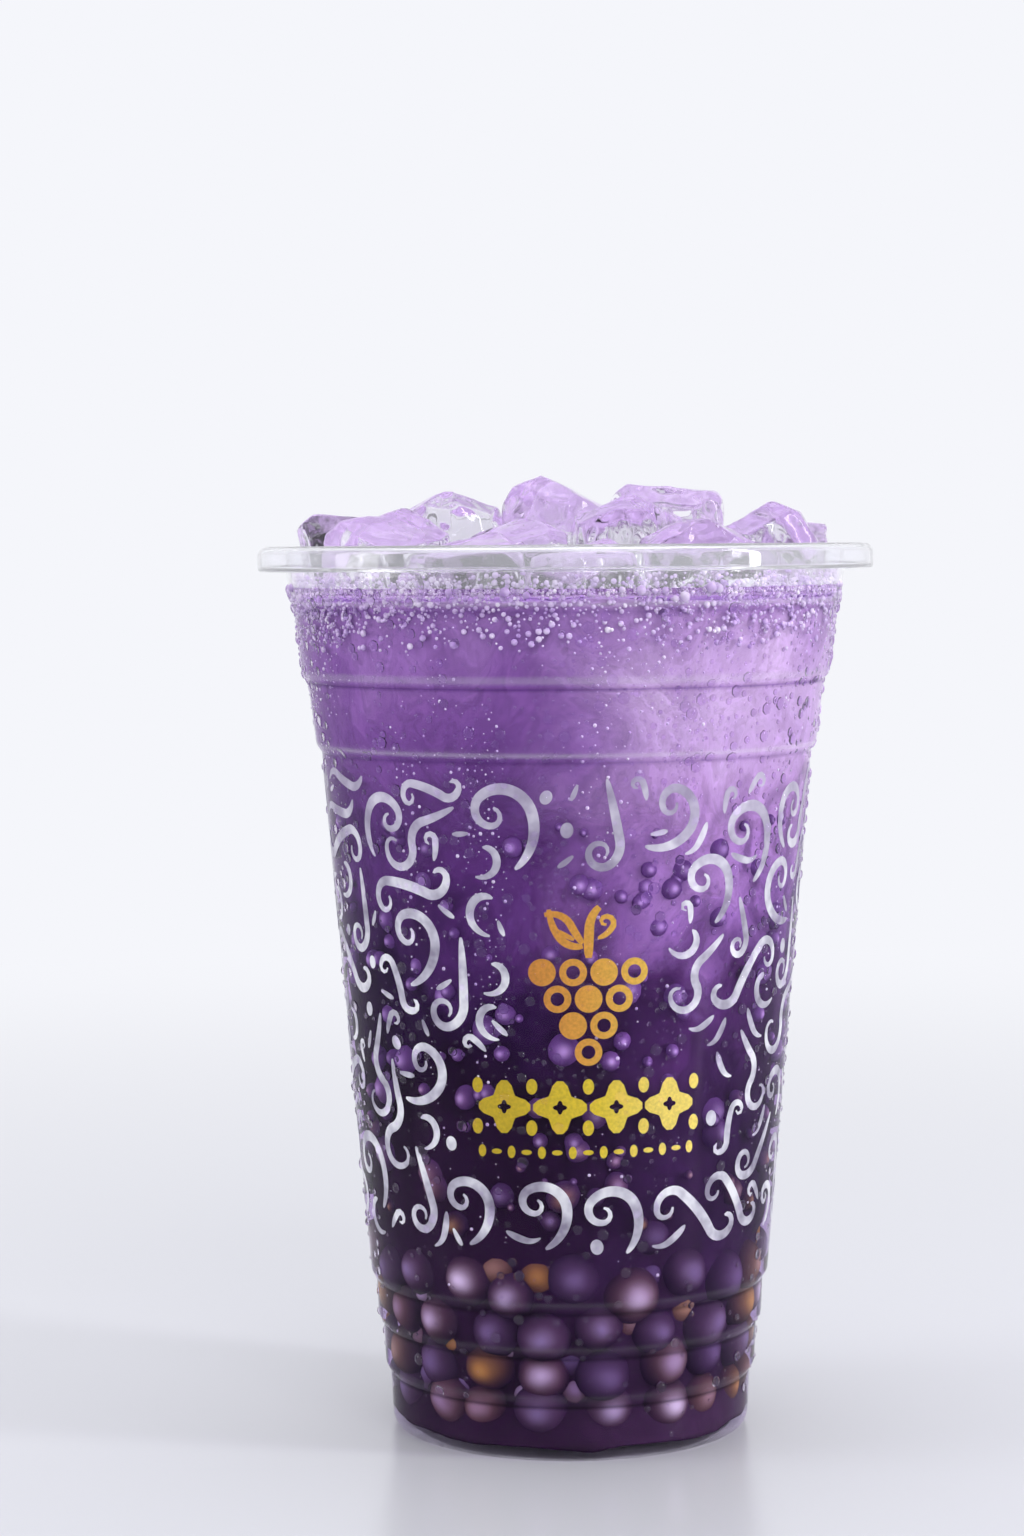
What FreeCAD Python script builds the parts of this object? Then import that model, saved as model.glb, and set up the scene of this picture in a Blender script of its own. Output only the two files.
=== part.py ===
import FreeCAD
import Part
import math
import os
import Sketcher
from FreeCAD import Placement, Rotation, Vector

# An iced grape tea in a clear takeaway cup, standing on the table.
#
# The cup is one thin thermoformed wall: a rolled lip, two shoulders and a stacking ledge near the
# top, a long tapered body, three rings above the foot, and a floor raised off the table.  The tea
# fills it to just under the lip.  Ice pieces float in the surface and heap above the lip.
#
# Frame: +Z up, origin at the centre of the foot on the table, millimetres.

doc = FreeCAD.newDocument("grape_tea")

SAME_PLACE = 0.01  # two corners closer than this are the same

# ---------------------------------------------------------------------------------------------
# Driving dimensions
# ---------------------------------------------------------------------------------------------

SIZES = [
    ("cup_height", 141.5, "table to the top of the lip"),
    ("rim_diameter", 98.0, "over the rolled lip"),
    ("foot_diameter", 57.2, "over the wall at the foot, before its rounding"),
    ("wall", 0.6, "wall thickness, everywhere"),
    ("lip_width", 4.55, "how far the rolled lip stands out from the wall"),
    ("lip_drop", 4.0, "height of the rolled lip"),
    ("lip_return", 1.6, "how far the lip's free edge turns back in"),
    ("lip_round", 1.5, "rounding over the outer top of the lip"),
    ("mouth_round", 0.9, "rounding from the lip down into the mouth"),
    ("fold_round", 0.5, "rounding where the lip turns back in"),
    ("stack_ledge_depth", 9.5, "from the top of the lip down to the middle of the stacking ledge"),
    ("upper_shoulder_depth", 20.9, "and to the middle of the upper shoulder"),
    ("lower_shoulder_depth", 32.1, "and to the middle of the lower shoulder"),
    ("upper_ring_height", 24.6, "middle of the step under the body"),
    ("middle_ring_height", 17.4, "middle of the next step down"),
    ("lower_ring_height", 9.6, "middle of the last step down"),
    ("stack_ledge_step", 0.5, "how far the wall steps in at the stacking ledge"),
    ("shoulder_step", 0.85, "how far it steps in at each shoulder"),
    ("ring_step", 0.8, "how far it steps in at each ring"),
    ("step_rise", 1.2, "height over which the wall steps in"),
    ("step_round", 2.0, "rounding over the outer corner of a step"),
    ("groove_round", 0.3, "rounding in the groove under a step"),
    ("collar_draft", 0.125, "taper of the wall from the lip to the lower shoulder, per mm"),
    ("ring_draft", 0.045, "taper of the wall between the rings, per mm"),
    ("foot_round", 2.0, "rounding of the foot"),
    ("foot_land", 3.0, "width of the flat that stands on the table"),
    ("floor_lift", 2.5, "height of the floor's underside over the table"),
    ("floor_slant", 1.5, "run of the slope from the foot up to the floor"),
    ("tea_depth", 7.7, "from the top of the lip down to the surface of the tea"),
    ("tea_clearance", 0.1, "between the tea and the wall"),
    ("ice_size", 19.0, "breadth of a middling ice piece"),
    ("ice_edge_melt", 2.2, "how deep an ice piece's edges have melted"),
    ("ice_corner_melt", 4.2, "how deep its corners have melted"),
    ("ice_draft", 7.5, "how far an ice piece reaches down into the tea"),
    ("ice_gap", 0.8, "between neighbouring ice pieces"),
    ("ice_clearance", 0.6, "between the ice and the wall"),
]

sheet = doc.addObject("Spreadsheet::Sheet", "dims")
for row, (alias, value, meaning) in enumerate(SIZES, start=1):
    sheet.set(f"A{row}", alias)
    sheet.set(f"B{row}", str(value))
    sheet.setAlias(f"B{row}", alias)
    sheet.set(f"C{row}", meaning)
doc.recompute()


def size(alias):
    """A driving dimension, read back from the sheet."""
    return float(sheet.get(alias))


MOUTH = "(<rim_diameter> / 2 - <lip_width>)"  # outer radius of the wall just under the lip
TEA_LEVEL = "(<cup_height> - <tea_depth>)"  # height of the surface of the tea


def bound(expression):
    """The aliases in an expression, pointed at the sheet."""
    for alias, _, _ in sorted(SIZES, key=lambda item: -len(item[0])):
        expression = expression.replace(f"<{alias}>", f"dims.{alias}")
    return expression


# ---------------------------------------------------------------------------------------------
# Sections that are turned into solids
# ---------------------------------------------------------------------------------------------


def turned_body(label, points):
    """A body turned about Z from a closed outline.

    points holds (radius, height) pairs of expressions; "0" puts a corner on an axis.
    """
    body = doc.addObject("PartDesign::Body", label)
    plane = next(f for f in body.Origin.OriginFeatures if f.Role == "XZ_Plane")
    sketch = body.newObject("Sketcher::SketchObject", label + "_section")
    sketch.AttachmentSupport = [(plane, "")]
    sketch.MapMode = "FlatFace"

    corners = [Vector(value_of(r), value_of(z), 0) for r, z in points]
    for start, end in zip(corners, corners[1:] + corners[:1]):
        sketch.addGeometry(Part.LineSegment(start, end), False)
    count = len(points)
    for line in range(count):
        sketch.addConstraint(Sketcher.Constraint("Coincident", line, 2, (line + 1) % count, 1))
    for line, (r, z) in enumerate(points):
        pin_corner(sketch, line, "DistanceX", -2, r, f"r{line}")
        pin_corner(sketch, line, "DistanceY", -1, z, f"z{line}")

    turned = body.newObject("PartDesign::Revolution", label + "_turned")
    turned.Profile = sketch
    turned.ReferenceAxis = (sketch, ["V_Axis"])
    turned.Angle = 360.0
    doc.recompute()
    return body


def value_of(expression):
    """An expression's value with the sheet's numbers, for the first drawing of a corner."""
    value = sheet.evalExpression(bound(expression))
    return float(getattr(value, "Value", value))


def pin_corner(sketch, line, kind, axis, expression, name):
    """Holds a line's first point at a distance from the origin, or on an axis."""
    if expression == "0":
        sketch.addConstraint(Sketcher.Constraint("PointOnObject", line, 1, axis))
        return
    distance = value_of(expression)
    index = sketch.addConstraint(Sketcher.Constraint(kind, -1, 1, line, 1, distance))
    sketch.renameConstraint(index, name)
    sketch.setExpression(f"Constraints.{name}", bound(expression))


def wall_steps():
    """The two corners of every step in the outside of the wall, from the foot up.

    Each is (radius, height), and the lower corner comes first.  The radii of the rings grow from
    the foot and those of the ledges shrink from the mouth, so the body's own taper joins the two.
    """
    half = "<step_rise> / 2"

    steps = []
    radius = "<foot_diameter> / 2"
    below = "0"
    for middle in ("<lower_ring_height>", "<middle_ring_height>", "<upper_ring_height>"):
        groove = (f"{radius} + <ring_draft> * ({middle} - {half} - ({below}))", f"{middle} - {half}")
        crest = (f"{groove[0]} + <ring_step>", f"{middle} + {half}")
        steps.append((groove, crest))
        radius, below = crest

    ledges = []
    radius = MOUTH
    above = "<cup_height> - <lip_drop>"
    for depth, step in (
        ("<stack_ledge_depth>", "<stack_ledge_step>"),
        ("<upper_shoulder_depth>", "<shoulder_step>"),
        ("<lower_shoulder_depth>", "<shoulder_step>"),
    ):
        middle = f"(<cup_height> - {depth})"
        crest = (f"{radius} - <collar_draft> * ({above} - ({middle} + {half}))", f"{middle} + {half}")
        groove = (f"{crest[0]} - {step}", f"{middle} - {half}")
        ledges.insert(0, (groove, crest))
        radius, above = groove

    return steps + ledges


def wall_line(inset):
    """The corners of the wall from the foot up, moved in by an expression."""
    return [(f"{r} - ({inset})", z) for step in wall_steps() for r, z in step]


def floor_line(lift, inset):
    """The floor from the axis out to the foot, moved up and in by an amount."""
    land = "<foot_diameter> / 2 - <foot_round> - <foot_land>"
    return [
        ("0", f"<floor_lift> + {lift}"),
        (f"{land} - <floor_slant> + {inset} / 2", f"<floor_lift> + {lift}"),
        (f"{land} + {inset} / 2", lift),
        (f"<foot_diameter> / 2 - {inset}", lift),
    ]


def places(corners):
    """Corners given as expressions, as numbers."""
    return [(value_of(r), value_of(z)) for r, z in corners]


def round_edges(body, name, radius, corners):
    """A fillet, its radius an expression, on the circular edges at the corners given."""
    base = body.Tip
    wanted = places(corners)
    names = []
    for number, edge in enumerate(base.Shape.Edges, start=1):
        if not isinstance(edge.Curve, Part.Circle):
            continue
        here = (edge.Curve.Radius, edge.Curve.Center.z)
        if any(math.dist(here, corner) < SAME_PLACE for corner in wanted):
            names.append(f"Edge{number}")
    if len(names) != len(wanted):
        raise RuntimeError(f"{name}: {len(names)} edges found, {len(wanted)} expected")
    fillet = body.newObject("PartDesign::Fillet", name)
    fillet.Base = (base, names)
    fillet.setExpression("Radius", bound(radius))
    doc.recompute()


def round_wall(body, side, inset):
    """Rounds the foot and every step of the wall, or of a line moved in from it by an inset."""
    crests = [(f"{r} - {inset}", z) for _, (r, z) in wall_steps()]
    grooves = [(f"{r} - {inset}", z) for (r, z), _ in wall_steps()]
    round_edges(body, f"foot_{side}", f"<foot_round> - {inset}", [floor_line(inset, inset)[-1]])
    round_edges(body, f"crests_{side}", f"<step_round> - {inset}", crests)
    round_edges(body, f"grooves_{side}", f"<groove_round> + {inset}", grooves)


# ---------------------------------------------------------------------------------------------
# Cup
# ---------------------------------------------------------------------------------------------


def build_cup():
    """The thermoformed cup: one wall, from the raised floor to the turned-in edge of the lip."""
    rim = "<rim_diameter> / 2"
    top = "<cup_height>"
    lip_low = "<cup_height> - <lip_drop>"
    outside = [
        *floor_line("0", "0"),
        *wall_line("0"),
        (MOUTH, lip_low),
        (MOUTH, f"{top} - <wall>"),
    ]
    lip = [
        (f"{rim} - <wall>", f"{top} - <wall>"),
        (f"{rim} - <wall>", f"{lip_low} + <wall>"),
        (f"{rim} - <lip_return>", f"{lip_low} + <wall>"),
        (f"{rim} - <lip_return>", lip_low),
        (rim, lip_low),
        (rim, top),
        (f"{MOUTH} - <wall>", top),
    ]
    inside = [
        (f"{MOUTH} - <wall>", lip_low),
        *wall_line("<wall>")[::-1],
        *floor_line("<wall>", "<wall>")[::-1],
    ]
    cup = turned_body("cup", outside + lip + inside)

    round_edges(cup, "lip_top", "<lip_round>", [(rim, top)])
    round_edges(cup, "lip_inside", "<lip_round> - <wall>", [lip[0]])
    round_edges(cup, "lip_mouth", "<mouth_round>", [lip[-1]])
    round_edges(cup, "lip_fold", "<fold_round>", [(rim, lip_low)])
    round_wall(cup, "outside", "0")
    round_wall(cup, "inside", "<wall>")
    return cup


cup = build_cup()

# ---------------------------------------------------------------------------------------------
# Ice
# ---------------------------------------------------------------------------------------------

# Each piece: where its middle is across and along the mouth, as shares of the mouth's inner radius;
# how far it stands over the lip; its breadth and its depth against the middling one; and, in
# degrees, its turn about Z, its lean about Y and its tip about X.
ICE = [
    (-0.78, -0.08, 5.3, 1.00, 1.05, 6, 4, -5),
    (-0.61, -0.47, 6.1, 1.10, 1.05, 38, -10, 24),
    (-0.40, 0.06, 8.8, 1.15, 1.15, 28, 16, -14),
    (-0.32, -0.77, 2.3, 1.05, 0.90, 12, -15, 12),
    (-0.05, 0.00, 11.5, 1.10, 1.05, 50, 20, 22),
    (-0.19, -0.38, 4.6, 1.15, 1.05, 20, -22, 8),
    (0.07, -0.79, 1.2, 1.00, 0.95, -8, -14, -6),
    (0.43, -0.72, 4.3, 1.05, 0.95, -24, -16, -14),
    (0.22, -0.34, 8.0, 1.05, 1.05, 62, 12, -20),
    (0.37, 0.13, 9.8, 1.10, 1.10, -4, 5, -4),
    (0.66, -0.30, 6.9, 1.15, 1.15, 44, -20, -24),
    (0.81, 0.12, 4.8, 1.00, 1.10, -12, 8, 14),
    (-0.46, 0.52, 5.6, 1.10, 1.15, 33, 18, -8),
    (-0.02, 0.44, 7.4, 1.10, 1.10, 15, -12, 16),
    (0.41, 0.56, 5.9, 1.10, 1.05, -35, 14, 12),
    (-0.05, 0.84, 3.4, 1.15, 0.95, 5, 15, -10),
    (-0.80, 0.36, 4.2, 1.00, 1.10, -25, 10, -12),
    (0.72, 0.50, 3.6, 1.05, 1.05, 25, 12, 16),
    (0.36, 0.87, 1.8, 1.05, 0.80, -18, 12, 8),
    (-0.45, 0.85, 2.0, 1.05, 0.85, 30, 10, -6),
]
UPPER_SHOULDER = 4  # its place among the wall's steps: the ice reaches down to about there
WALL_FACETS = 18  # flat faces around the mouth that the ice is kept inside
BEYOND = 300.0  # longer than anything here


def ice_middles():
    """The middle of every ice piece, on the surface of the tea."""
    reach = value_of(f"{MOUTH} - <wall>")
    level = value_of(TEA_LEVEL)
    return [Vector(across * reach, along * reach, level) for across, along, *_ in ICE]


def shaved(solid, point, normal):
    """What is left of a solid on the near side of a plane."""
    spare = Part.makeBox(BEYOND, BEYOND, BEYOND, Vector(-BEYOND / 2, -BEYOND / 2, 0))
    spare.Placement = Placement(point, Rotation(Vector(0, 0, 1), normal))
    return solid.cut(spare)


def melted_block(breadth, depth, height):
    """A block about the origin with its edges and its corners melted away."""
    half = Vector(breadth / 2, depth / 2, height / 2)
    block = Part.makeBox(breadth, depth, height, -half)
    for x in (-1, 0, 1):
        for y in (-1, 0, 1):
            for z in (-1, 0, 1):
                faces_met = abs(x) + abs(y) + abs(z)
                if faces_met < 2:
                    continue
                melt = size("ice_edge_melt") if faces_met == 2 else size("ice_corner_melt")
                normal = Vector(x, y, z).normalize()
                corner = Vector(x * half.x, y * half.y, z * half.z)
                block = shaved(block, corner - normal * melt, normal)
    return block


def build_ice():
    """The ice pieces, each kept to its own share of the mouth, its top at its own height."""
    middles = ice_middles()
    radius, height = places([wall_steps()[UPPER_SHOULDER][0]])[0]
    reach = (radius - size("wall") - size("ice_clearance")) * math.cos(math.pi / WALL_FACETS)
    pieces = []
    for number, (_, _, rise, broad, deep, turn, lean, tip) in enumerate(ICE, start=1):
        middle = middles[number - 1]
        top = size("tea_depth") + rise
        tall = top + size("ice_draft")
        block = melted_block(broad * size("ice_size"), deep * size("ice_size"), tall)
        block.Placement = Placement(Vector(0, 0, 0), Rotation(turn, lean, tip))
        block.translate(Vector(0, 0, top - block.BoundBox.ZMax))

        for other in middles:
            between = other - middle
            if 0 < between.Length < 2 * size("ice_size"):
                way = Vector(between).normalize()
                block = shaved(block, between / 2 - way * size("ice_gap") / 2, way)
        for facet in range(WALL_FACETS):
            angle = 2 * math.pi * facet / WALL_FACETS
            across = Vector(math.cos(angle), math.sin(angle), 0)
            on_wall = across * reach + Vector(0, 0, height)
            outward = (across - Vector(0, 0, size("collar_draft"))).normalize()
            block = shaved(block, on_wall - middle, outward)

        piece = doc.addObject("Part::Feature", f"ice_{number:02d}")
        piece.Shape = block.removeSplitter()
        piece.Placement = Placement(middle, Rotation())
        pieces.append(piece)
    return pieces


ice = build_ice()

# ---------------------------------------------------------------------------------------------
# Tea
# ---------------------------------------------------------------------------------------------


def build_tea():
    """The tea: it stands on the floor, fills the wall and leaves a pocket for each ice piece."""
    inset = "(<wall> + <tea_clearance>)"
    floor = floor_line(inset, inset)
    floor[0] = ("0", "<floor_lift> + <wall>")
    floor[1] = (floor[1][0], "<floor_lift> + <wall>")
    brim = "<cup_height> - <lip_drop>"
    inside = [*floor, *wall_line(inset), (f"{MOUTH} - {inset}", brim), ("0", brim)]
    brimful = turned_body("brimful", inside)
    round_wall(brimful, "tea", inset)

    below_level = doc.addObject("Part::Cylinder", "below_level")
    below_level.setExpression("Radius", bound(MOUTH))
    below_level.setExpression("Height", bound(TEA_LEVEL))
    poured = doc.addObject("Part::Common", "poured")
    poured.Base = brimful
    poured.Tool = below_level

    pockets = doc.addObject("Part::Compound", "ice_pockets")
    pockets.Links = ice
    tea = doc.addObject("Part::Cut", "tea")
    tea.Base = poured
    tea.Tool = pockets
    doc.recompute()
    return tea


tea = build_tea()

# ---------------------------------------------------------------------------------------------
# Checks and files
# ---------------------------------------------------------------------------------------------

parts = [cup, tea, *ice]

doc.recompute()
for item in doc.Objects:
    if "Invalid" in item.State or "Error" in item.State:
        raise RuntimeError(f"{item.Label} failed: {item.State}")
for part in parts:
    if part.Shape.isNull() or not part.Shape.isValid():
        raise RuntimeError(f"{part.Label} has no valid shape")
    if len(part.Shape.Solids) != 1:
        raise RuntimeError(f"{part.Label} is {len(part.Shape.Solids)} solids")

os.makedirs("parts", exist_ok=True)
for part in parts:
    part.Shape.exportStep(os.path.join("parts", f"{part.Label}.step"))
    box = part.Shape.BoundBox
    print(f"{part.Label:8s} {part.Shape.Volume / 1000:8.2f} cm3  z {box.ZMin:7.2f} to {box.ZMax:7.2f}")
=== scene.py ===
import math
import random

import bmesh
import bpy
from mathutils import Matrix, Vector


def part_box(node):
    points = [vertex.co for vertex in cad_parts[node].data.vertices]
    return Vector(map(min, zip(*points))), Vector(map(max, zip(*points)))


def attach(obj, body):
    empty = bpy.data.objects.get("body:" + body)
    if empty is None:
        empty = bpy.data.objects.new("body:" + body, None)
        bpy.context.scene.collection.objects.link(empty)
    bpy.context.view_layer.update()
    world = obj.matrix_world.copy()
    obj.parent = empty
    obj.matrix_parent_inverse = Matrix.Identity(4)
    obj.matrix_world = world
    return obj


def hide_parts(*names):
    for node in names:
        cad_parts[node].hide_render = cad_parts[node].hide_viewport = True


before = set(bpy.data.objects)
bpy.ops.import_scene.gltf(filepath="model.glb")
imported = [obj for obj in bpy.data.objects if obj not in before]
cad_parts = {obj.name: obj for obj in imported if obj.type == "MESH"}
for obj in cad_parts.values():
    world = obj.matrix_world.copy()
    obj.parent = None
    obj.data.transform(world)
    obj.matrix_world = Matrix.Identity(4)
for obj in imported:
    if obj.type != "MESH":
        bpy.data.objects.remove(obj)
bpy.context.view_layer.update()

# ---------------------------------------------------------------------------------------------
# Camera: a short telephoto at the height of the lip, tipped a little down, that looks at the
# side of the cup with the emblem.
# ---------------------------------------------------------------------------------------------

LIP_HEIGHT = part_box("cup")[1].z
LENS_MM = 82.0
SENSOR_MM = 36.0
CAMERA_DISTANCE = 0.560
TIPPED_DOWN = math.radians(3.65)
TURNED_LEFT = math.radians(0.89)
ROLLED = math.radians(-0.43)

camera = bpy.data.objects.new("camera", bpy.data.cameras.new("camera"))
camera.data.lens = LENS_MM
camera.data.sensor_width = SENSOR_MM
camera.data.clip_start = 0.01
aim = Matrix.Rotation(TURNED_LEFT, 4, "Z") @ Matrix.Rotation(math.pi / 2 - TIPPED_DOWN, 4, "X")
camera.matrix_world = (
    Matrix.Translation((0, -CAMERA_DISTANCE, LIP_HEIGHT)) @ aim @ Matrix.Rotation(ROLLED, 4, "Z")
)
bpy.context.scene.collection.objects.link(camera)
bpy.context.scene.camera = camera

# ---------------------------------------------------------------------------------------------
# Table and light: a pale satin table top that fades into a pale room, and soft lamps at both
# sides, above and in front.
# ---------------------------------------------------------------------------------------------


def linear(colour):
    """An sRGB colour as #RRGGBB, as linear RGBA."""
    parts = [int(colour[i : i + 2], 16) / 255 for i in (1, 3, 5)]
    return [c / 12.92 if c <= 0.04045 else ((c + 0.055) / 1.055) ** 2.4 for c in parts] + [1.0]


def add(tree, kind, inputs=None, **settings):
    """A node with its settings, and with its inputs set to values or linked to other outputs. A
    node given as a value stands for its first output."""
    new = tree.nodes.new(kind)
    for name, value in settings.items():
        setattr(new, name, value)
    for socket, value in (inputs or {}).items():
        if isinstance(value, bpy.types.Node):
            value = value.outputs[0]
        if isinstance(value, bpy.types.NodeSocket):
            tree.links.new(value, new.inputs[socket])
        else:
            new.inputs[socket].default_value = value
    return new


def material(name):
    """A new material and its empty node tree."""
    made = bpy.data.materials.new(name)
    made.use_nodes = True
    made.node_tree.nodes.clear()
    return made, made.node_tree


def new_object(name, mesh):
    """An object at the origin that holds a mesh."""
    made = bpy.data.objects.new(name, mesh)
    bpy.context.scene.collection.objects.link(made)
    return made


def seen_directly(tree):
    """1 where an eye, a gloss or clear stuff looks at it, and 0 where it only lights things."""
    path = add(tree, "ShaderNodeLightPath")
    looks = add(
        tree, "ShaderNodeMath", {0: path.outputs["Is Camera Ray"], 1: path.outputs["Is Glossy Ray"]},
        operation="MAXIMUM",
    )
    looks = add(
        tree, "ShaderNodeMath", {0: looks, 1: path.outputs["Is Transmission Ray"]}, operation="MAXIMUM"
    )
    return looks


TABLE_REACH = 3.0
TABLE_PLAIN_TO = 0.09
TABLE_FADED_AT = 0.65

laminate, tree = material("satin_laminate")
surface = add(
    tree, "ShaderNodeBsdfPrincipled",
    {"Base Color": linear("#E3E4ED"), "Roughness": 0.25, "Specular IOR Level": 0.3},
)
haze = add(tree, "ShaderNodeEmission", {"Color": linear("#F5F6FB"), "Strength": 1.0})
place = add(tree, "ShaderNodeTexCoord")
reach = add(tree, "ShaderNodeVectorMath", {0: place.outputs["Object"]}, operation="LENGTH")
fade = add(
    tree, "ShaderNodeMapRange", {0: reach.outputs["Value"], 1: TABLE_PLAIN_TO, 2: TABLE_FADED_AT},
    interpolation_type="SMOOTHSTEP",
)
fade = add(tree, "ShaderNodeMath", {0: fade, 1: seen_directly(tree)}, operation="MULTIPLY")
both = add(tree, "ShaderNodeMixShader", {0: fade, 1: surface, 2: haze})
add(tree, "ShaderNodeOutputMaterial", {"Surface": both})

mesh = bpy.data.meshes.new("table")
corners = [(x * TABLE_REACH, y * TABLE_REACH, 0) for x, y in ((-1, -1), (1, -1), (1, 1), (-1, 1))]
mesh.from_pydata(corners, [], [(0, 1, 2, 3)])
mesh.materials.append(laminate)
table = new_object("table", mesh)

scene = bpy.context.scene
scene.view_settings.view_transform = "Standard"

# The room lights things at less than full white, and looks pale itself.
ROOM_GLOW = 0.48

room = bpy.data.worlds.new("room")
room.use_nodes = True
scene.world = room
tree = room.node_tree
tree.nodes.clear()
glow = add(tree, "ShaderNodeBackground", {"Color": linear("#FFFFFF"), "Strength": ROOM_GLOW})
pale = add(tree, "ShaderNodeBackground", {"Color": linear("#F5F6FB"), "Strength": 1.0})
both = add(tree, "ShaderNodeMixShader", {0: seen_directly(tree), 1: glow, 2: pale})
add(tree, "ShaderNodeOutputWorld", {"Surface": both})

# Each lamp: where it stands, how wide and how tall it is, in metres, and its power in watts.
LAMPS = {
    "left_softbox": ((-0.90, -0.15, 0.35), 0.35, 0.9, 2.4),
    "right_softbox": ((0.85, -0.28, 0.40), 0.08, 0.8, 3.5),
    "top_softbox": ((0.0, 0.10, 0.95), 0.7, 0.7, 2.4),
    "front_softbox": ((0.35, -1.00, 0.90), 0.6, 0.6, 3.0),
}
for name, (stands, wide, tall, watts) in LAMPS.items():
    lamp = bpy.data.lights.new(name, "AREA")
    lamp.shape = "RECTANGLE"
    lamp.size = wide
    lamp.size_y = tall
    lamp.energy = watts
    stand = bpy.data.objects.new(name, lamp)
    aim = (Vector((0, 0, LIP_HEIGHT / 2)) - Vector(stands)).to_track_quat("-Z", "Y")
    stand.matrix_world = Matrix.Translation(stands) @ aim.to_matrix().to_4x4()
    scene.collection.objects.link(stand)

# ---------------------------------------------------------------------------------------------
# Cup: one sheet of clear PET, thermoformed into a tapered wall with a rolled lip, three ledges
# under it and three rings above the foot.
# ---------------------------------------------------------------------------------------------

MM = 0.001

# The cup's sizes in millimetres. Each ring has the height of its step; each ledge has its depth
# under the lip, and how far it steps in.
RIM_RADIUS = 49.0
LIP_WIDTH = 4.55
LIP_DROP = 4.0
LIP_RETURN = 1.6
LIP_ROUND = 1.5
MOUTH_ROUND = 0.9
FOLD_ROUND = 0.5
FOOT_RADIUS = 28.6
FOOT_ROUND = 2.0
FOOT_LAND = 3.0
FLOOR_LIFT = 2.5
FLOOR_SLANT = 1.5
WALL = 0.6
STEP_RISE = 1.2
STEP_ROUND = 2.0
GROOVE_ROUND = 0.3
RING_DRAFT = 0.045
RING_STEP = 0.8
RINGS = (9.6, 17.4, 24.6)
COLLAR_DRAFT = 0.125
LEDGES = ((9.5, 0.5), (20.9, 0.85), (32.1, 0.85))
TEA_DEPTH = 7.7
MENISCUS = 1.3
TURNED_STEPS = 192
ARC_STEPS = 6

cup_height = LIP_HEIGHT / MM
mouth_radius = RIM_RADIUS - LIP_WIDTH
tea_level = cup_height - TEA_DEPTH
waterline = tea_level + MENISCUS


def wall_corners(inset=0.0):
    """The corners of the wall from the foot up, moved in by an inset: radius, height, rounding."""
    half = STEP_RISE / 2
    up = []
    radius, below = FOOT_RADIUS, 0.0
    for middle in RINGS:
        radius += RING_DRAFT * (middle - half - below)
        up.append((radius - inset, middle - half, GROOVE_ROUND + inset))
        radius += RING_STEP
        up.append((radius - inset, middle + half, STEP_ROUND - inset))
        below = middle + half
    down = []
    radius, above = mouth_radius, cup_height - LIP_DROP
    for depth, step in LEDGES:
        middle = cup_height - depth
        radius -= COLLAR_DRAFT * (above - middle - half)
        down.append((radius - inset, middle + half, STEP_ROUND - inset))
        radius -= step
        down.append((radius - inset, middle - half, GROOVE_ROUND + inset))
        above = middle - half
    return up + down[::-1]


def wall_radius(height):
    """The wall's outer radius at a height, in millimetres."""
    line = [(FOOT_RADIUS, 0.0)] + [corner[:2] for corner in wall_corners()]
    line += [(mouth_radius, cup_height - LIP_DROP), (mouth_radius, cup_height)]
    for (r0, z0), (r1, z1) in zip(line, line[1:]):
        if height <= z1:
            return r0 + (r1 - r0) * (height - z0) / (z1 - z0)
    return mouth_radius


def outline(name, corners):
    """A half section, from the axis back to it: a line mesh that keeps each corner's rounding."""
    mesh = bpy.data.meshes.new(name)
    points = [(radius * MM, -height * MM, 0) for radius, height, _ in corners]
    mesh.from_pydata(points, [(i, i + 1) for i in range(len(points) - 1)], [])
    rounding = mesh.attributes.new("rounding", "FLOAT", "POINT")
    rounding.data.foreach_set("value", [corner[2] * MM for corner in corners])
    return mesh


def geometry_tree(name, **sizes):
    """A Geometry Nodes tree, its input node, and a named input of a kind for each size."""
    tree = bpy.data.node_groups.new(name, "GeometryNodeTree")
    tree.interface.new_socket("Geometry", in_out="INPUT", socket_type="NodeSocketGeometry")
    tree.interface.new_socket("Geometry", in_out="OUTPUT", socket_type="NodeSocketGeometry")
    for size, kind in sizes.items():
        tree.interface.new_socket(size, in_out="INPUT", socket_type="NodeSocket" + kind)
    return tree, add(tree, "NodeGroupInput").outputs


def turned(tree, section, steps, gap=None):
    """Turns a half section about the axis: its corners rounded, its poles closed."""
    rounding = add(tree, "GeometryNodeInputNamedAttribute", {"Name": "rounding"}, data_type="FLOAT")
    line = add(tree, "GeometryNodeMeshToCurve", {"Mesh": section})
    line = add(
        tree, "GeometryNodeFilletCurve", {"Curve": line, "Count": ARC_STEPS, "Radius": rounding},
        mode="POLY",
    )
    line.inputs["Limit Radius"].default_value = True
    if gap:
        line = add(tree, "GeometryNodeResampleCurve", {"Curve": line, "Length": gap}, mode="LENGTH")
    circle = add(tree, "GeometryNodeCurvePrimitiveCircle", {"Resolution": steps, "Radius": 1e-6})
    shell = add(tree, "GeometryNodeCurveToMesh", {"Curve": circle, "Profile Curve": line})
    shell = add(tree, "GeometryNodeMergeByDistance", {"Geometry": shell, "Distance": 5e-6})
    shell = add(tree, "GeometryNodeFlipFaces", {"Mesh": shell})
    return shell


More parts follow.
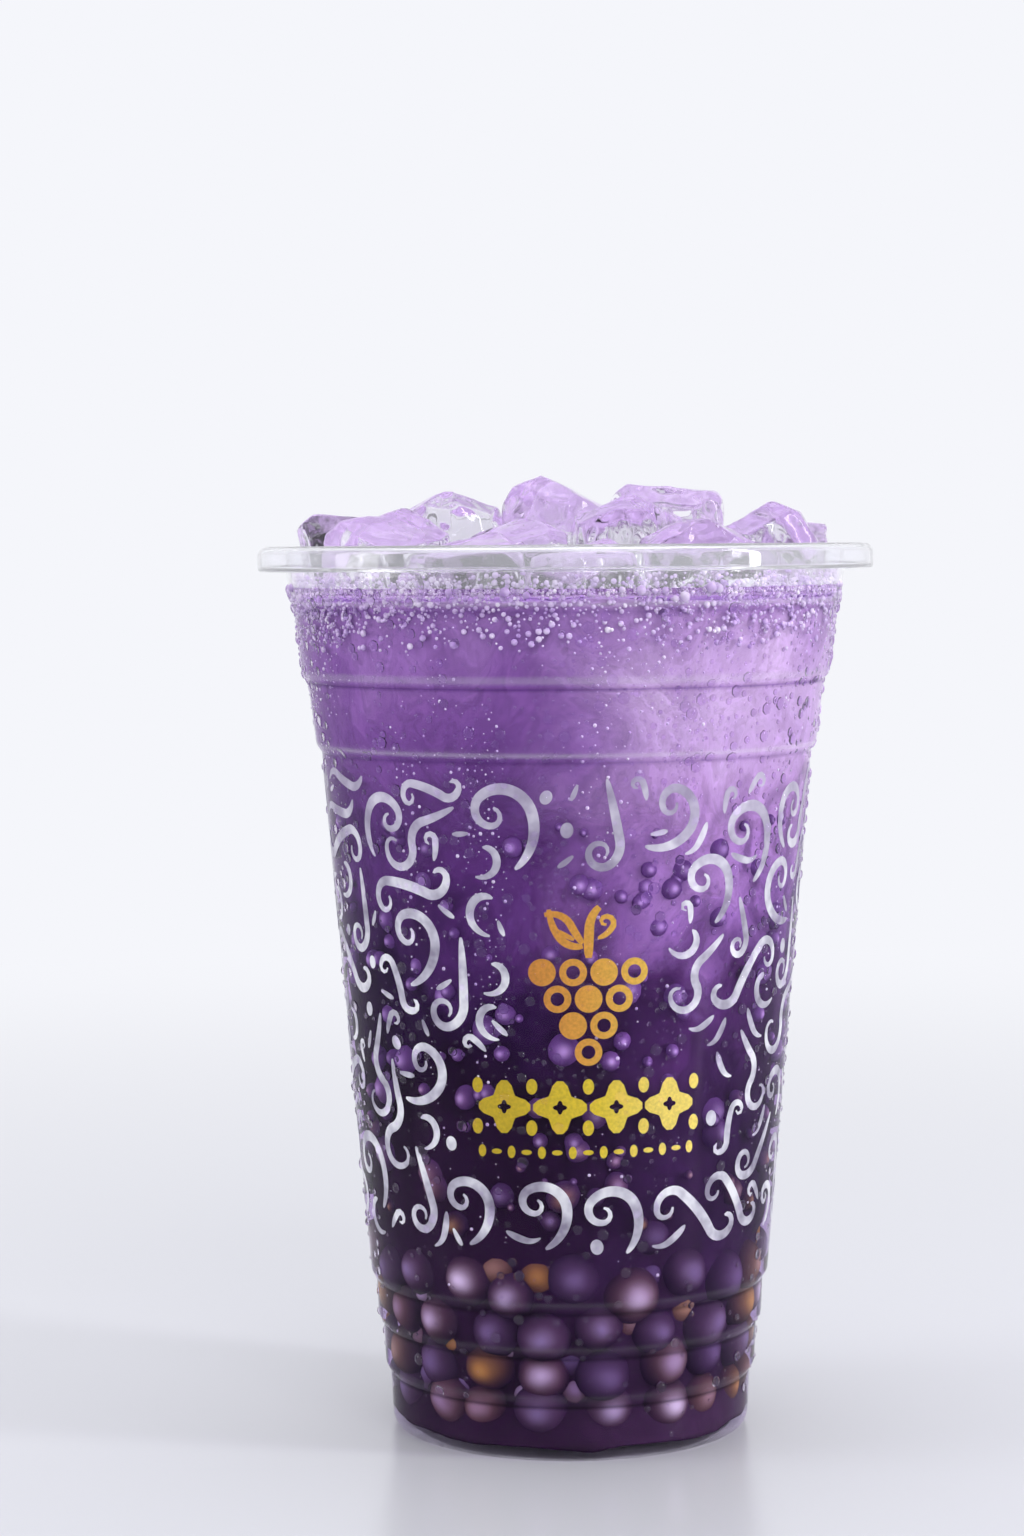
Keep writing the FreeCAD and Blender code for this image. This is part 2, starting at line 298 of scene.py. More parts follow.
def finished(tree, shape, *finishes, smooth=True):
    """Ends a tree: its shading, then each material on the faces that a selection gives it."""
    last = add(tree, "GeometryNodeSetShadeSmooth", {"Geometry": shape, "Shade Smooth": smooth})
    last = add(tree, "GeometryNodeRealizeInstances", {"Geometry": last})
    for finish, where in finishes:
        chosen = {"Geometry": last, "Selection": where, "Material": finish}
        last = add(tree, "GeometryNodeSetMaterial", chosen)
    add(tree, "NodeGroupOutput", {"Geometry": last})


def grown(name, mesh, tree, values=None, ink=None):
    """An object whose plain mesh is what a Geometry Nodes tree makes of another mesh."""
    made = new_object(name, mesh)
    modifier = made.modifiers.new(tree.name, "NODES")
    modifier.node_group = tree
    for socket in tree.interface.items_tree:
        if socket.in_out == "INPUT" and socket.name in (values or {}):
            modifier[socket.identifier] = values[socket.name]
    if ink:
        film = made.modifiers.new("film", "SOLIDIFY")
        film.thickness = ink
        film.offset = 1.0
    whole = made.evaluated_get(bpy.context.evaluated_depsgraph_get())
    plain = bpy.data.meshes.new_from_object(whole)
    plain.name = name
    made.modifiers.clear()
    made.data = plain
    return made


def draw_lines(tree, strength):
    """The faint upright waves that drawing the hot sheet leaves in a thermoformed wall."""
    place = add(tree, "ShaderNodeTexCoord")
    upright = add(
        tree, "ShaderNodeMapping", {"Vector": place.outputs["Object"], "Scale": (1.0, 1.0, 0.12)}
    )
    waves = add(
        tree, "ShaderNodeTexNoise",
        {"Vector": upright, "Scale": 1 / (DRAW_LINE_WIDTH * MM), "Detail": 1.0},
    )
    bump = add(tree, "ShaderNodeBump", {"Height": waves, "Distance": 0.05 * MM, "Strength": strength})
    return bump


def lets_lamps_through(tree, surface, **inside):
    """Ends a clear material's tree: lamps shine straight through it, and eyes see it bend."""
    path = add(tree, "ShaderNodeLightPath")
    straight = add(tree, "ShaderNodeBsdfTransparent")
    mix = add(tree, "ShaderNodeMixShader", {0: path.outputs["Is Shadow Ray"], 1: surface, 2: straight})
    add(tree, "ShaderNodeOutputMaterial", {"Surface": mix, **inside})


def colour_stops(ramp, stops):
    """Gives a colour ramp its stops: where each is, and its colour, or a grey from 0 to 1."""
    while len(ramp.elements) < len(stops):
        ramp.elements.new(1.0)
    for element, (position, colour) in zip(ramp.elements, stops):
        element.position = position
        element.color = linear(colour) if isinstance(colour, str) else [colour] * 3 + [1.0]


DRAW_LINE_WIDTH = 5.0

# Clear thermoformed PET: hard mirror glints at the lip and its folds, and a trace of haze where
# the sheet was stretched.
pet, tree = material("thermoformed_PET")
surface = add(tree, "ShaderNodeBsdfPrincipled", {
    "Base Color": linear("#FBFBFE"), "Roughness": 0.03, "IOR": 1.45, "Transmission Weight": 0.9,
    "Normal": draw_lines(tree, 0.4),
})
lets_lamps_through(tree, surface)

# The same sheet where tea wets its inside: it all but vanishes, and glints faintly. Each groove
# under a step has a painted shade line where the real groove bends light away, and each crest
# above it a painted highlight line that stands in for its glint.
GROOVE_PAINTED_SHADES = ("#2A1838", "#2A1838", "#2A1838", "#8460A0", "#8460A0", "#A88AC0")
CREST_PAINTED_HIGHLIGHTS = (0.95, 0.95, 0.95, 0.72, 0.72, 0.8)

wet_pet, tree = material("thermoformed_PET_wet_inside")
place = add(tree, "ShaderNodeTexCoord")
height = add(tree, "ShaderNodeSeparateXYZ", {0: place.outputs["Object"]})
share = add(tree, "ShaderNodeMapRange", {0: height.outputs["Z"], 1: 0.0, 2: LIP_HEIGHT})
painted_groove_stops = [(0.0, "#FFFFFF")]
painted_crest_stops = [(0.0, 1.0)]
for number, shade in enumerate(GROOVE_PAINTED_SHADES):
    groove = wall_corners()[2 * number][1]
    painted_groove_stops += [(groove - 0.5, "#FFFFFF"), (groove - 0.1, shade), (groove + 0.5, "#FFFFFF")]
    crest = groove + STEP_RISE
    crest_highlight = CREST_PAINTED_HIGHLIGHTS[number]
    painted_crest_stops += [(crest - 0.4, 1.0), (crest + 0.1, crest_highlight), (crest + 0.6, 1.0)]
painted_groove_stops.append((cup_height, "#FFFFFF"))
painted_crest_stops.append((cup_height, 1.0))
# painted shade: a dark line along each groove, put into the sheet's colour
clear = add(tree, "ShaderNodeValToRGB", {0: share})
colour_stops(clear.color_ramp, [(z / cup_height, shade) for z, shade in painted_groove_stops])
# painted highlight: less light passes at each crest, so the white base colour shows as a light line
through = add(tree, "ShaderNodeValToRGB", {0: share})
colour_stops(through.color_ramp, [(z / cup_height, grey) for z, grey in painted_crest_stops])
surface = add(tree, "ShaderNodeBsdfPrincipled", {
    "Base Color": clear, "Roughness": 0.0, "IOR": 1.08, "Transmission Weight": through,
    "Coat Weight": 0.16, "Coat Roughness": 0.06, "Normal": draw_lines(tree, 0.3),
})
lets_lamps_through(tree, surface)

# The wet inner face itself: tea and PET bend light alike, so it can't be seen.
hidden_face, tree = material("wet_inner_face_of_PET")
surface = add(tree, "ShaderNodeBsdfTransparent", {"Color": linear("#FFFFFF")})
add(tree, "ShaderNodeOutputMaterial", {"Surface": surface})

tree, given = geometry_tree("thermoformed_cup", Steps="Int", Waterline="Float")
shell = turned(tree, given["Geometry"], given["Steps"])
place = add(tree, "GeometryNodeInputPosition")
height = add(tree, "ShaderNodeSeparateXYZ", {0: place})
facing = add(tree, "GeometryNodeInputNormal")
outward = add(tree, "ShaderNodeVectorMath", {0: place, 1: (1.0, 1.0, 0.0)}, operation="MULTIPLY")
outward = add(
    tree, "ShaderNodeVectorMath", {0: outward, 1: facing.outputs["Normal"]}, operation="DOT_PRODUCT"
)
# the underside of the floor faces down, and counts as outside
down = add(tree, "ShaderNodeSeparateXYZ", {0: facing.outputs["Normal"]})
outward = add(
    tree, "ShaderNodeMath", {0: down.outputs["Z"], 1: -0.05 * MM, 2: outward.outputs["Value"]},
    operation="MULTIPLY_ADD",
)
wet = add(
    tree, "FunctionNodeCompare", {0: height.outputs["Z"], 1: given["Waterline"]}, data_type="FLOAT",
    operation="LESS_THAN",
)
outer = add(
    tree, "FunctionNodeCompare", {0: outward, 1: 0.0}, data_type="FLOAT", operation="GREATER_THAN"
)
wet_outer = add(tree, "FunctionNodeBooleanMath", {0: wet, 1: outer}, operation="AND")
finished(tree, shell, (pet, True), (hidden_face, wet), (wet_pet, wet_outer))

land = FOOT_RADIUS - FOOT_ROUND - FOOT_LAND
lip_low = cup_height - LIP_DROP
section = [
    (0, FLOOR_LIFT, 0),
    (land - FLOOR_SLANT, FLOOR_LIFT, 0.6),
    (land, 0, 0.4),
    (FOOT_RADIUS, 0, FOOT_ROUND),
    *wall_corners(),
    (wall_radius(waterline), waterline, 0),
    (mouth_radius, lip_low, 0),
    (mouth_radius, cup_height - WALL, 0.3),
    (RIM_RADIUS - WALL, cup_height - WALL, LIP_ROUND - WALL),
    (RIM_RADIUS - WALL, lip_low + WALL, 0.2),
    (RIM_RADIUS - LIP_RETURN, lip_low + WALL, 0.25),
    (RIM_RADIUS - LIP_RETURN, lip_low, 0.25),
    (RIM_RADIUS, lip_low, FOLD_ROUND),
    (RIM_RADIUS, cup_height, LIP_ROUND),
    (mouth_radius - WALL, cup_height, MOUTH_ROUND),
    (mouth_radius - WALL, lip_low, 0),
    (wall_radius(waterline) - WALL, waterline, 0),
    *wall_corners(WALL)[::-1],
    (FOOT_RADIUS - WALL, WALL, FOOT_ROUND - WALL),
    (land + WALL / 2, WALL, 0.5),
    (land - FLOOR_SLANT + WALL / 2, FLOOR_LIFT + WALL, 0.6),
    (0, FLOOR_LIFT + WALL, 0),
]
cup_wall = grown(
    "cup_wall", outline("cup_section", section), tree,
    {"Steps": TURNED_STEPS, "Waterline": waterline * MM},
)
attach(cup_wall, "root")
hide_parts("cup")

# ---------------------------------------------------------------------------------------------
# Tea: sweet grape tea with milk that has not been stirred in. It fills the cup to just below the
# lip, and its skin lies inside the wall's own thickness, so that no air shows between them.
# ---------------------------------------------------------------------------------------------

INTO_WALL = 0.25

# Clear purple tea: it darkens what lies deep in it, and mirrors the room only at its open top.
grape_tea, tree = material("grape_tea")
place = add(tree, "ShaderNodeTexCoord")
height = add(tree, "ShaderNodeSeparateXYZ", {0: place.outputs["Object"]})
open_top = add(
    tree,
    "ShaderNodeMapRange",
    {0: height.outputs["Z"], 1: (tea_level - 0.3) * MM, 2: (tea_level - 0.1) * MM, 3: 1.0, 4: 1.34},
)
surface = add(
    tree,
    "ShaderNodeBsdfPrincipled",
    {"Base Color": linear("#FFFFFF"), "Roughness": 0.0, "IOR": open_top, "Transmission Weight": 1.0},
)
absorb = add(tree, "ShaderNodeVolumeAbsorption", {"Color": linear("#C9A6E0"), "Density": 70.0})
lets_lamps_through(tree, surface, Volume=absorb)

tree, given = geometry_tree("poured_tea", Steps="Int")
finished(tree, turned(tree, given["Geometry"], given["Steps"]), (grape_tea, True))

skin = WALL - INTO_WALL
brim = wall_radius(waterline) - skin
section = [
    (0, FLOOR_LIFT + skin, 0),
    (land - FLOOR_SLANT + skin / 2, FLOOR_LIFT + skin, 0.6),
    (land + skin / 2, skin, 0.5),
    (FOOT_RADIUS - skin, skin, FOOT_ROUND - skin),
    *[corner for corner in wall_corners(skin) if corner[1] < tea_level],
    (brim, waterline, 0.1),
    (brim - 1.6, tea_level, 2.0),
    (0, tea_level, 0),
]
tea_body = grown("tea_body", outline("tea_section", section), tree, {"Steps": TURNED_STEPS})
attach(tea_body, "root")
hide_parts("tea")

# ---------------------------------------------------------------------------------------------
# Milk: it lies as a pale cloud in the top of the tea, sinks further on one side, and hides the
# middle of the drink. That side is also painted lighter, as painted light from that side, and the
# other side darker, as painted shade. Below it the tea is nearly black.
# ---------------------------------------------------------------------------------------------

# Heights from the floor up, and how far inside the wall the cloudy part starts there. Under them
# it reaches down into the foot's channel: radius and height of each corner.
CLOUD_DEPTHS = ((4.5, 2.6), (9.0, 4.6), (28.0, 4.2), (40.0, 3.4), (95.0, 2.8), (112.0, 2.2))
CLOUD_FOOT = ((0.0, 4.2), (22.6, 4.2), (24.4, 1.4), (26.6, 1.2))
CLOUD_TOP_DEPTH = 1.2
CLOUD_BELOW_LEVEL = 0.3
CLOUD_GAP = 1.1
BILLOW_SIZE = 14.0
BILLOW_HEIGHT = 2.4
WISP_SIZE = 4.5

# How far the billows stir the milk, in metres, and where across the cup it starts and ends to
# sink further and to take painted light from that side.
STIRRED = Vector((0.030, 0.030, 0.050))
MILK_SINKS_AND_LIT_FROM = -0.009
MILK_SINKS_AND_LIT_TO = 0.022

# More of a noise pushes a surface in than out.
BILLOW_MIDDLE = 0.62

# Milky tea: dull and soft, dark grape low down, lilac at the top, with wisps where they meet.
# One side is darker and the other lighter, partly milk and partly painted shade and light.
milky_tea, tree = material("milk_in_grape_tea")
place = add(tree, "ShaderNodeTexCoord")
billows = add(tree, "ShaderNodeTexNoise", {
    "Vector": place.outputs["Object"], "Scale": 1 / (BILLOW_SIZE * 1.3 * MM), "Detail": 5.0,
    "Roughness": 0.55, "Distortion": 0.5,
})
stirred = add(
    tree, "ShaderNodeVectorMath",
    {0: billows.outputs["Color"], 1: STIRRED, 2: place.outputs["Object"]}, operation="MULTIPLY_ADD",
)
# the noise's middle, 0.5, moves everything half the way, so it is taken off again
stirred = add(tree, "ShaderNodeVectorMath", {0: stirred, 1: STIRRED / 2}, operation="SUBTRACT")
drift = add(tree, "ShaderNodeSeparateXYZ", {0: stirred})
height = add(tree, "ShaderNodeMapRange", {0: drift.outputs["Z"], 1: 0.0, 2: tea_level * MM})
# painted light: towards one side the milk is lighter and reaches lower, partly real milk and partly
# painted light
milkier_and_lit = add(
    tree, "ShaderNodeMapRange", {0: drift.outputs["X"], 1: MILK_SINKS_AND_LIT_FROM, 2: MILK_SINKS_AND_LIT_TO},
    interpolation_type="SMOOTHSTEP",
)

# the colours of the side in painted shade, and then of the milkier side in painted light
shaded_side = add(tree, "ShaderNodeValToRGB", {0: height})
colour_stops(shaded_side.color_ramp, (
    (0.04, "#2C1832"), (0.26, "#2C1434"), (0.45, "#220C2C"), (0.55, "#2E1440"), (0.65, "#5C3474"),
    (0.76, "#6A4384"), (0.87, "#7E5598"), (0.97, "#9670AE"),
))
milky_lit_side = add(tree, "ShaderNodeValToRGB", {0: height})
colour_stops(milky_lit_side.color_ramp, (
    (0.04, "#3C2642"), (0.28, "#382146"), (0.44, "#3C234C"), (0.54, "#5A346E"), (0.64, "#9870B0"),
    (0.74, "#B893C8"), (0.86, "#C4ACD0"), (0.97, "#A688B8"),
))
colour = add(tree, "ShaderNodeMix", {0: milkier_and_lit, 6: shaded_side, 7: milky_lit_side}, data_type="RGBA")
upward = add(tree, "ShaderNodeSeparateXYZ", {0: place.outputs["Normal"]})
upward = add(tree, "ShaderNodeMapRange", {0: upward.outputs["Z"], 1: 0.6, 2: 0.95})
colour = add(
    tree, "ShaderNodeMix", {0: upward, 6: colour.outputs[2], 7: linear("#C6ACDA")}, data_type="RGBA"
)
wisps = add(tree, "ShaderNodeTexNoise", {
    "Vector": stirred, "Scale": 1 / (WISP_SIZE * MM), "Detail": 4.0, "Roughness": 0.6, "Distortion": 1.2
})
lighter = add(tree, "ShaderNodeMapRange", {0: wisps, 1: 0.3, 2: 0.7, 3: 0.78, 4: 1.22})
colour = add(tree, "ShaderNodeVectorMath", {0: colour.outputs[2], "Scale": lighter}, operation="SCALE")
surface = add(
    tree, "ShaderNodeBsdfPrincipled",
    {"Base Color": colour, "Roughness": 0.8, "Specular IOR Level": 0.0},
)
add(tree, "ShaderNodeOutputMaterial", {"Surface": surface})


def rolling(tree, shape, noise, middle, height):
    """A shape whose points move along their normals by a noise less its middle, times a height."""
    lift = add(tree, "ShaderNodeMath", {0: noise, 1: middle}, operation="SUBTRACT")
    lift = add(tree, "ShaderNodeMath", {0: lift, 1: height}, operation="MULTIPLY")
    facing = add(tree, "GeometryNodeInputNormal").outputs["Normal"]
    move = add(tree, "ShaderNodeVectorMath", {0: facing, "Scale": lift}, operation="SCALE")
    return add(tree, "GeometryNodeSetPosition", {"Geometry": shape, "Offset": move})


tree, given = geometry_tree(
    "milk_cloud", Steps="Int", Gap="Float", BillowSize="Float", BillowHeight="Float"
)
body = turned(tree, given["Geometry"], given["Steps"], given["Gap"])
place = add(tree, "GeometryNodeInputPosition")
finer = add(tree, "ShaderNodeMath", {0: 1.0, 1: given["BillowSize"]}, operation="DIVIDE")
lumps = add(tree, "ShaderNodeTexNoise", {"Vector": place, "Scale": finer, "Detail": 2.0})
body = rolling(tree, body, lumps, BILLOW_MIDDLE, given["BillowHeight"])
finished(tree, body, (milky_tea, True))

cloud_top = tea_level - CLOUD_BELOW_LEVEL
section = [
    *[(radius, z, 0.5) for radius, z in CLOUD_FOOT],
    *[(wall_radius(z) - depth, z, 2.0) for z, depth in CLOUD_DEPTHS],
    (wall_radius(cloud_top) - CLOUD_TOP_DEPTH, cloud_top, 1.0),
    (0, cloud_top, 0),
]
cloud = grown("tea_cloud", outline("cloud_section", section), tree, {
    "Steps": TURNED_STEPS, "Gap": CLOUD_GAP * MM, "BillowSize": BILLOW_SIZE * MM,
    "BillowHeight": BILLOW_HEIGHT * MM,
})
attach(cloud, "root")

# ---------------------------------------------------------------------------------------------
# Pearls: boiled tapioca balls of dark brown jelly. The large ones are heaped on the floor, and
# smaller ones hang higher in the tea, coated with milk, among flecks of milk that have not mixed.
# ---------------------------------------------------------------------------------------------

PEARL_RADIUS = 4.6
PEARL_FROM_WALL = 0.25

# Every second pearl of a row lies this much further in and higher, and their middles are this
# share of a radius apart. Each row: its height, and its turn as a share of the gap.
PEARLS_BEHIND = 2.6
PEARLS_APART = 0.96
PEARL_ROWS = ((7.4, 0.0), (13.9, 0.5), (20.6, 0.15), (27.4, 0.6))
LOOSE_PEARLS = 130
MILK_FLECKS = 170
LOOSE_FROM = 35.0
LOOSE_TO = 100.0

# How quickly a pearl's own colour gives way to painted shade towards its edge, and how quickly
# the painted highlight at its middle falls off.
EDGE_SHADE_TIGHTNESS = 2.5
PAINTED_HIGHLIGHT_TIGHTNESS = 14.0

# Tapioca jelly: soft and cloudy. A pearl has a painted highlight where it faces the wall, and its
# edges are painted dark, partly the dark tea and partly painted shade. Some are browner than
# others, and those higher up are lilac with milk.
tapioca, tree = material("boiled_tapioca")
place = add(tree, "ShaderNodeTexCoord")
spot = add(tree, "ShaderNodeSeparateXYZ", {0: place.outputs["Object"]})
level_place = add(
    tree, "ShaderNodeVectorMath", {0: place.outputs["Object"], 1: (1.0, 1.0, 0.0)}, operation="MULTIPLY"
)
outward = add(tree, "ShaderNodeVectorMath", {0: level_place}, operation="NORMALIZE")
faces_wall = add(
    tree, "ShaderNodeVectorMath", {0: outward, 1: place.outputs["Normal"]}, operation="DOT_PRODUCT"
)
outwardness = add(tree, "ShaderNodeMath", {0: faces_wall.outputs["Value"], 1: 0.0}, operation="MAXIMUM")
# painted shade: the pearl's own colour darkens away from the middle that faces the wall
unshaded_middle = add(tree, "ShaderNodeMath", {0: outwardness, 1: EDGE_SHADE_TIGHTNESS}, operation="POWER")
# painted highlight: strongest in the middle of the side that faces the wall
painted_highlight = add(tree, "ShaderNodeMath", {0: outwardness, 1: PAINTED_HIGHLIGHT_TIGHTNESS}, operation="POWER")
own = add(tree, "ShaderNodeAttribute", attribute_name="tint")
jelly = add(tree, "ShaderNodeValToRGB", {0: own.outputs["Fac"]})
colour_stops(
    jelly.color_ramp,
    ((0.0, "#463052"), (0.3, "#50374E"), (0.5, "#5C3E4C"), (0.75, "#62423C"), (1.0, "#684634")),
)
# painted shade at the edges, in the dark tea's colour
jelly = add(tree, "ShaderNodeMix", {0: unshaded_middle, 6: linear("#342040"), 7: jelly}, data_type="RGBA")
# the painted highlight's colours, by each pearl's tint
highlight_colours = add(tree, "ShaderNodeValToRGB", {0: own.outputs["Fac"]})
colour_stops(highlight_colours.color_ramp, (
    (0.0, "#5C4670"), (0.3, "#7A668E"), (0.48, "#CDBAD8"), (0.62, "#8E7498"), (0.78, "#94705A"),
    (1.0, "#A87640"),
))
coated = add(tree, "ShaderNodeMapRange", {0: spot.outputs["Z"], 1: 34.0 * MM, 2: 66.0 * MM})
jelly = add(
    tree, "ShaderNodeMix", {0: coated, 6: jelly.outputs[2], 7: linear("#6C4788")}, data_type="RGBA"
)
highlight_colours = add(tree, "ShaderNodeMix", {0: coated, 6: highlight_colours, 7: linear("#B08CCB")}, data_type="RGBA")
# the painted highlight laid over the jelly
colour = add(
    tree, "ShaderNodeMix", {0: painted_highlight, 6: jelly.outputs[2], 7: highlight_colours.outputs[2]}, data_type="RGBA"
)
surface = add(
    tree, "ShaderNodeBsdfPrincipled",
    {"Base Color": colour.outputs[2], "Roughness": 0.6, "Specular IOR Level": 0.0},
)
add(tree, "ShaderNodeOutputMaterial", {"Surface": surface})

tree, given = geometry_tree("boiled_pearls", Seed="Int", Unevenness="Float", Heaped="Int")
number = add(tree, "GeometryNodeInputIndex")
size = add(tree, "GeometryNodeInputNamedAttribute", {"Name": "size"}, data_type="FLOAT")
each = add(
    tree, "FunctionNodeRandomValue",
    {0: (0.94, 0.94, 0.88), 1: (1.04, 1.04, 1.0), "Seed": given["Seed"]}, data_type="FLOAT_VECTOR",
)
scaled = add(tree, "ShaderNodeVectorMath", {0: each, "Scale": size}, operation="SCALE")
rolled = add(
    tree, "FunctionNodeRandomValue",
    {0: (0.0, 0.0, 0.0), 1: (math.tau, math.tau, math.tau), "Seed": given["Seed"]},
    data_type="FLOAT_VECTOR",
)
# The heaped pearls come first and are the finer balls.
heap = add(tree, "GeometryNodeJoinGeometry")
for order, fineness in (("LESS_THAN", 3), ("GREATER_EQUAL", 2)):
    chosen = add(
        tree, "FunctionNodeCompare", {2: number, 3: given["Heaped"]}, data_type="INT", operation=order
    )
    ball = add(tree, "GeometryNodeMeshIcoSphere", {"Radius": 1.0, "Subdivisions": fineness})
    balls = add(tree, "GeometryNodeInstanceOnPoints", {
        "Points": given["Geometry"], "Selection": chosen, "Instance": ball, "Rotation": rolled,
        "Scale": scaled,
    })
    tree.links.new(balls.outputs[0], heap.inputs[0])
tinted = add(
    tree, "FunctionNodeRandomValue", {2: 0.0, 3: 1.0, "Seed": given["Seed"]}, data_type="FLOAT"
)
heap = add(
    tree, "GeometryNodeStoreNamedAttribute",
    {"Geometry": heap, "Name": "tint", "Value": tinted.outputs[1]}, data_type="FLOAT",
    domain="INSTANCE",
)
heap = add(tree, "GeometryNodeRealizeInstances", {"Geometry": heap})
dents = add(tree, "ShaderNodeTexNoise", {"Scale": 1 / (5.0 * MM), "Detail": 1.0})
heap = rolling(tree, heap, dents, 0.5, given["Unevenness"])
finished(tree, heap, (tapioca, True))

chance = random.Random(11)
places = []
for height, offset in PEARL_ROWS:
    reach = wall_radius(height) - WALL - PEARL_RADIUS - PEARL_FROM_WALL
    count = int(math.tau * reach / (PEARLS_APART * PEARL_RADIUS))
    for step in range(count):
        angle = math.tau * (step + offset + chance.uniform(-0.3, 0.3)) / count
        behind = PEARLS_BEHIND if step % 2 else 0.0
        near = reach - behind - chance.uniform(0, 0.8)
        lift = chance.uniform(-1.6, 1.6) if height > 8 else chance.uniform(-0.2, 1.2)
        lift += behind
        size = PEARL_RADIUS * chance.uniform(0.84, 1.02)
        places.append((near * math.cos(angle), near * math.sin(angle), height + lift, size))
heaped = len(places)
for step in range(LOOSE_PEARLS + MILK_FLECKS):
    share = chance.random() ** 0.9
    height = LOOSE_FROM + (LOOSE_TO - LOOSE_FROM) * share
    if step < LOOSE_PEARLS:
        size = PEARL_RADIUS * chance.uniform(0.35, 0.8) * (1 - 0.45 * share)
    else:
        size = chance.uniform(0.55, 1.7)
    near = wall_radius(height) - WALL - size - chance.uniform(0.3, 1.8)
    angle = chance.uniform(0, math.tau)
    places.append((near * math.cos(angle), near * math.sin(angle), height, size))

mesh = bpy.data.meshes.new("pearl_places")
mesh.from_pydata([Vector(place[:3]) * MM for place in places], [], [])
sizes = mesh.attributes.new("size", "FLOAT", "POINT")
sizes.data.foreach_set("value", [place[3] * MM for place in places])
pearls = grown("pearls", mesh, tree, {"Seed": 5, "Unevenness": 0.7 * MM, "Heaped": heaped})
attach(pearls, "root")

# ---------------------------------------------------------------------------------------------
# Bubbles and drops: froth at the tea's edge and on its top, small bubbles that cling inside the
# wall under it, and drops and a fine mist of water that have condensed on the cold outside.
# ---------------------------------------------------------------------------------------------

# Froth: a wet white film of bubbles, tinted by the tea, that lets some light in.
froth, tree = material("milk_froth")
place = add(tree, "ShaderNodeTexCoord")
patches = add(
    tree, "ShaderNodeTexNoise",
    {"Vector": place.outputs["Object"], "Scale": 1 / (2.5 * MM), "Detail": 2.0},
)
colour = add(tree, "ShaderNodeValToRGB", {0: patches})
colour_stops(colour.color_ramp, ((0.3, "#BE9CDC"), (0.5, "#DEC8F1"), (0.7, "#F8F0FF")))
surface = add(
    tree, "ShaderNodeBsdfPrincipled",
    {"Base Color": colour, "Roughness": 0.06, "IOR": 1.3, "Transmission Weight": 0.2},
)
add(tree, "ShaderNodeOutputMaterial", {"Surface": surface})

# Water beads: clear domes, a little darker than what they lie on, each with a sharp glint.
water, tree = material("condensed_water")
surface = add(tree, "ShaderNodeBsdfPrincipled", {
    "Base Color": linear("#F0E6F8"), "Roughness": 0.0, "IOR": 1.14, "Transmission Weight": 1.0,
    "Coat Weight": 0.3, "Coat Roughness": 0.03,
})
lets_lamps_through(tree, surface)


# Froth climbs the dry wall, so it is scattered on the tea's shape raised by this much.
FROTH_CLIMB = 3.2

# Each piece of beads: the piece it is scattered on, how far that is raised, its finish and slot.
BEADS = {
    "froth_bubbles": (tea_body, FROTH_CLIMB, froth, "foam"),
    "froth_raft": (tea_body, 0.0, froth, "foam"),
    "small_bubbles": (tea_body, 0.0, froth, "foam"),
    "water_beads": (cup_wall, 0.0, water, "cup"),
    "water_mist": (cup_wall, 0.0, water, "cup"),
}

# Their sizes in millimetres, and then their shares and counts, a column for each piece.
BEAD_SIZES = {
    "Lowest": (132.2, 133.2, 60.0, 6.0, 70.0),
    "FullFrom": (134.2, 133.6, 112.0, 100.0, 112.0),
    "Highest": (136.9, 135.4, 131.5, 134.0, 133.0),
    "Innermost": (30.0, 8.0, 20.0, 20.0, 20.0),
    "Apart": (0.52, 1.0, 0.8, 1.2, 0.78),
    "Smallest": (0.18, 0.3, 0.09, 0.22, 0.16),
    "Largest": (0.58, 1.0, 0.34, 1.1, 0.42),
    "PatchSize": (18.0, 22.0, 11.0, 18.0, 24.0),
}
BEAD_SHARES = {
    "Rarity": (2.0, 2.4, 3.0, 3.2, 1.6),
    "Flatness": (0.8, 0.8, 0.7, 0.5, 0.6),
    "Base": (-1.0, -1.0, -1.0, -0.1, -0.1),
    "Sink": (-0.7, 0.2, -0.6, 0.0, 0.0),
    "Patchiness": (0.26, 0.42, 0.51, 0.42, 0.5),
    "Facets": (7, 8, 6, 7, 6),
    "Seed": (3, 6, 8, 21, 30),
}


